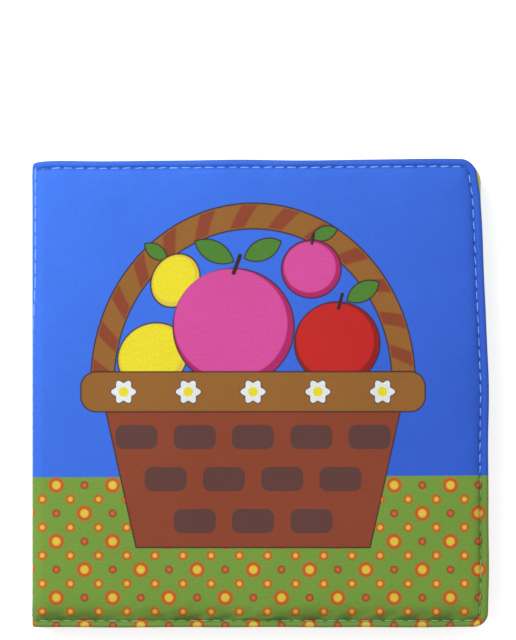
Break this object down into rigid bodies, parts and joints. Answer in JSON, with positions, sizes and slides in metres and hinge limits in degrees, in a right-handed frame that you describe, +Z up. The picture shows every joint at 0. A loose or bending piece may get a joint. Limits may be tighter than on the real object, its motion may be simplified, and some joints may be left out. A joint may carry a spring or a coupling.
{
  "type": "cloth book",
  "caption": "Small padded cloth book for a baby, with stitched printed covers that open at the spine and folded cloth pages inside.",
  "frame": {"origin": "centre of the closed book's outline, on the plane it rests on", "axes": "+X from the spine to the fore-edge, +Y from tail to head, +Z up through the front cover; the book lies closed on its back cover"},
  "size_m": [0.1414, 0.145, 0.0158],
  "materials": {
    "blue_cloth": "matte",
    "yellow_cloth": "matte",
    "green_print": "matte",
    "thread": "matte",
    "inside_ground": "matte",
    "page_ground": "matte",
    "plank_print": "matte",
    "outline_print": "matte",
    "brown_print": "matte",
    "dark_brown_print": "matte",
    "tan_print": "matte",
    "pink_print": "matte",
    "red_print": "matte",
    "yellow_print": "matte",
    "white_print": "matte",
    "orange_print": "matte",
    "heart_print": "matte",
    "coral_print": "matte",
    "leaf_print": "matte"
  },
  "bodies": {
    "back_cover": {"back_cover": "blue_cloth", "back_stitches": "thread", "back_ground": "green_print", "inside_back_ground": "plank_print"},
    "pages": {"inner_leaves": "yellow_cloth", "page_1_ground": "page_ground", "page_2_ground": "page_ground", "page_3_ground": "page_ground", "page_4_ground": "plank_print"},
    "front_cover": {"front_cover": "blue_cloth", "front_stitches": "thread", "front_ground": "green_print", "inside_front_ground": "inside_ground", "print_outline": "outline_print", "print_basket": "brown_print", "print_handle": "tan_print", "print_weave": "dark_brown_print", "print_pink_fruit": "pink_print", "print_red_fruit": "red_print", "print_yellow_fruit": "yellow_print", "print_leaves": "leaf_print", "print_petals": "white_print", "print_flower_hearts": "yellow_print", "print_dots": "orange_print", "print_dot_hearts": "heart_print", "print_small_dots": "coral_print"}
  },
  "joints": [
    {"name": "pages_turn", "type": "hinge", "parent": "back_cover", "child": "pages", "pos_m": [-0.07075, 0, 0.00765], "axis": [0, 1, 0], "range_deg": [-179.5, 0]},
    {"name": "front_cover_hinge", "type": "hinge", "parent": "pages", "child": "front_cover", "pos_m": [-0.07075, 0, 0.00765], "axis": [0, -1, 0], "range_deg": [0, 179.5]}
  ]
}
